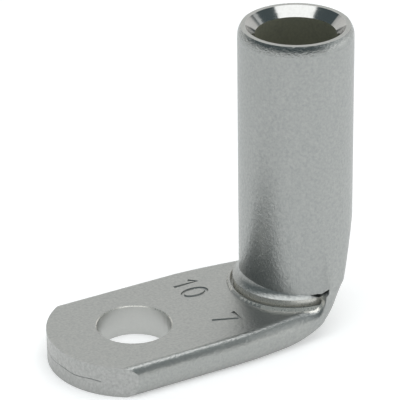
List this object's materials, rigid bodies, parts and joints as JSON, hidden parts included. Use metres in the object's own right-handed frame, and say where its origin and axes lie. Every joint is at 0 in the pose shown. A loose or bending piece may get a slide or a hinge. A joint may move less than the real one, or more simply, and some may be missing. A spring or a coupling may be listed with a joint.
{
  "type": "angled tube lug",
  "caption": "Right-angle tube cable lug: a tinned copper tube, pressed flat at one end and punched with a stud hole, bent up into a round barrel that takes the conductor.",
  "frame": {"origin": "centre of the stud hole on the underside of the palm, which seats on the terminal", "axes": "+Z along the stud and the barrel, out of the barrel's mouth; the barrel stands on the +X side of the stud hole; Y is across the palm"},
  "size_m": [0.0288, 0.0138, 0.0274],
  "materials": {
    "tin_plate": "satin"
  },
  "bodies": {
    "root": {"lug": "tin_plate"}
  },
  "joints": []
}
